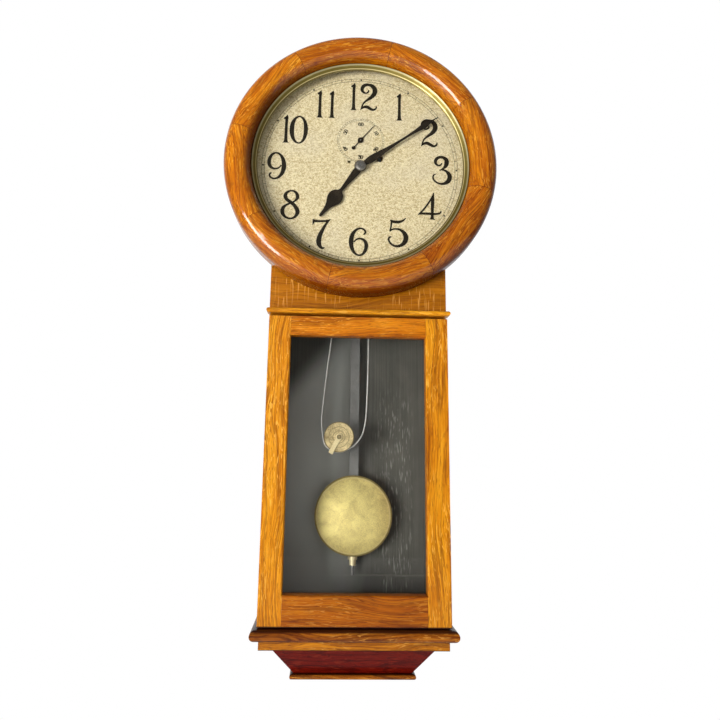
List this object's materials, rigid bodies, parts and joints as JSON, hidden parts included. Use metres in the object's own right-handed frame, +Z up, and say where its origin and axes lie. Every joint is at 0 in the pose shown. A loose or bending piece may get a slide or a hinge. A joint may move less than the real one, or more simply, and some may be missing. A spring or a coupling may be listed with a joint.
{
  "type": "weight-driven regulator wall clock",
  "caption": "Oak wall clock with a round hinged dial door, glazed trunk door, swinging pendulum, and a cable over a pulley that turns the train.",
  "frame": {"origin": "centre of the round part of the hanging hole, on the wall plane", "axes": "+X to the viewer's right, +Y into the wall, +Z up; the dial faces -Y"},
  "size_m": [0.372, 0.1382, 0.8463],
  "materials": {
    "oak_case": "golden oak, glossy varnish",
    "stained_boards": "dark red-brown varnish",
    "back_board": "dark stained board, scuffed",
    "oak_door": "golden oak, glossy varnish",
    "oak_ring": "golden oak, glossy varnish",
    "door_glass": "clear",
    "dial_glass": "clear",
    "sight_brass": "dull aged brass",
    "hinge_brass": "aged brass",
    "dial_enamel": "cream paint, aged and spotted",
    "blued_steel": "black",
    "bright_steel": "turned steel",
    "plate_brass": "aged brass",
    "iron": "dark iron",
    "spring_steel": "spring steel",
    "rod_steel": "dark, half gloss",
    "steel_cable": "bright twisted wire"
  },
  "bodies": {
    "case": {"back_board": "back_board", "case_sides": "oak_case", "top_board": "oak_case", "base_board": "oak_case", "fascia_frame": "oak_case", "taper_boards": "stained_boards", "foot_board": "oak_case", "neck_panel": "oak_case", "waist_moulding": "oak_case", "stop_rails": "oak_case", "hanger_plate": "iron", "case_hinge_leaves": "hinge_brass", "dial_backing": "oak_ring", "dial_plate": "dial_enamel", "back_plate": "plate_brass", "front_plate": "plate_brass", "plate_pillars": "plate_brass", "movement_posts": "iron", "suspension_cock": "plate_brass", "plate_studs": "bright_steel", "cable_fall": "steel_cable", "cable_rise": "steel_cable"},
    "trunk_door": {"door_stiles": "oak_door", "door_rails": "oak_door", "door_glass": "door_glass", "glazing_beads": "oak_door", "door_hinge_leaves": "hinge_brass"},
    "dial_door": {"dial_ring": "oak_ring", "sight_ring": "sight_brass", "dial_glass": "dial_glass", "ring_hinge_leaves": "hinge_brass"},
    "door_bolt": {"door_catch": "hinge_brass"},
    "dial_bolt": {"dial_catch": "hinge_brass"},
    "centre": {"centre_arbor": "bright_steel", "centre_wheel": "plate_brass", "cannon_pinion": "bright_steel", "minute_hand": "blued_steel", "hand_nut": "bright_steel"},
    "hour": {"hour_wheel": "plate_brass", "hour_hand": "blued_steel"},
    "motion": {"minute_wheel": "plate_brass"},
    "third": {"third_arbor": "bright_steel", "third_wheel": "plate_brass"},
    "seconds": {"escape_arbor": "bright_steel", "escape_wheel": "plate_brass", "seconds_hand": "blued_steel"},
    "great": {"great_wheel": "plate_brass"},
    "click_arm": {"click": "bright_steel"},
    "drum": {"winding_drum": "plate_brass", "winding_arbor": "bright_steel"},
    "anchor": {"pallets": "bright_steel", "crutch": "plate_brass"},
    "pendulum": {"suspension_spring": "spring_steel", "pendulum_rod": "rod_steel"},
    "bob": {"bob": "plate_brass", "rating_nuts": "plate_brass"},
    "pulley_block": {"pulley_axle": "bright_steel", "cable_wrap": "steel_cable"},
    "pulley_wheel": {"pulley": "plate_brass"},
    "pulley_stirrup": {"stirrup": "plate_brass"}
  },
  "joints": [
    {"name": "dial_door_swing", "type": "hinge", "parent": "case", "child": "dial_door", "pos_m": [0.179, -0.09825, -0.11], "axis": [0, 0, 1], "range_deg": [0, 105]},
    {"name": "trunk_door_swing", "type": "hinge", "parent": "case", "child": "trunk_door", "pos_m": [0.1172, -0.0882, -0.5143], "axis": [0, 0, 1], "range_deg": [0, 110]},
    {"name": "door_bolt_slide", "type": "slide", "parent": "case", "child": "door_bolt", "axis": [0, 1, 0], "range_m": [0, 0.0011], "stiffness_N_per_m": 400},
    {"name": "dial_bolt_slide", "type": "slide", "parent": "case", "child": "dial_bolt", "axis": [0, 1, 0], "range_m": [0, 0.0011], "stiffness_N_per_m": 400},
    {"name": "centre_turn", "type": "hinge", "parent": "case", "child": "centre", "pos_m": [0, -0.06, -0.11], "axis": [0, 1, 0], "continuous": true},
    {"name": "hour_turn", "type": "hinge", "parent": "case", "child": "hour", "pos_m": [0, -0.06, -0.11], "axis": [0, 1, 0], "continuous": true},
    {"name": "minute_wheel_turn", "type": "hinge", "parent": "case", "child": "motion", "pos_m": [0, -0.06, -0.122], "axis": [0, 1, 0], "continuous": true},
    {"name": "third_turn", "type": "hinge", "parent": "case", "child": "third", "pos_m": [-0.01807, -0.06, -0.087], "axis": [0, 1, 0], "continuous": true},
    {"name": "seconds_turn", "type": "hinge", "parent": "case", "child": "seconds", "pos_m": [0, -0.06, -0.069], "axis": [0, 1, 0], "continuous": true},
    {"name": "great_turn", "type": "hinge", "parent": "case", "child": "great", "pos_m": [0.02701, -0.06, -0.09582], "axis": [0, 1, 0], "continuous": true},
    {"name": "click_lift", "type": "hinge", "parent": "great", "child": "click_arm", "pos_m": [0.03905, -0.052, -0.08318], "axis": [0, 1, 0], "range_deg": [0, 8]},
    {"name": "drum_wind", "type": "hinge", "parent": "case", "child": "drum", "pos_m": [0.02701, -0.06, -0.09582], "axis": [0, 1, 0], "range_deg": [-2000, 2110]},
    {"name": "pendulum_swing", "type": "hinge", "parent": "case", "child": "pendulum", "pos_m": [0, -0.023, -0.03659], "axis": [0, 1, 0], "range_deg": [-3, 3]},
    {"name": "bob_height", "type": "slide", "parent": "pendulum", "child": "bob", "axis": [0, 0, 1], "range_m": [-0.004, 0.004]},
    {"name": "anchor_rock", "type": "hinge", "parent": "case", "child": "anchor", "pos_m": [0, -0.06, -0.03659], "axis": [0, 1, 0], "range_deg": [-3, 3]},
    {"name": "pulley_travel", "type": "slide", "parent": "case", "child": "pulley_block", "axis": [0, 0, 1], "range_m": [-0.19, 0.2], "deforming": ["cable_fall", "cable_rise"]},
    {"name": "pulley_spin", "type": "hinge", "parent": "pulley_block", "child": "pulley_wheel", "pos_m": [-0.022, -0.0611, -0.4788], "axis": [0, 1, 0], "range_deg": [-625, 595]},
    {"name": "stirrup_swing", "type": "hinge", "parent": "pulley_block", "child": "pulley_stirrup", "pos_m": [-0.022, -0.0611, -0.4788], "axis": [0, 1, 0], "range_deg": [-60, 60]}
  ],
  "couplings": [
    {"joint": "centre_turn", "follows": "seconds_turn", "ratio": 0.016667},
    {"joint": "hour_turn", "follows": "seconds_turn", "ratio": 0.0013889},
    {"joint": "minute_wheel_turn", "follows": "seconds_turn", "ratio": -0.0055556},
    {"joint": "third_turn", "follows": "seconds_turn", "ratio": -0.13333},
    {"joint": "great_turn", "follows": "seconds_turn", "ratio": -0.0011696},
    {"joint": "anchor_rock", "follows": "pendulum_swing", "ratio": 1},
    {"joint": "drum_wind", "follows": "pulley_travel", "rad_per_m": 183.49},
    {"joint": "pulley_spin", "follows": "pulley_travel", "rad_per_m": -54.055}
  ]
}
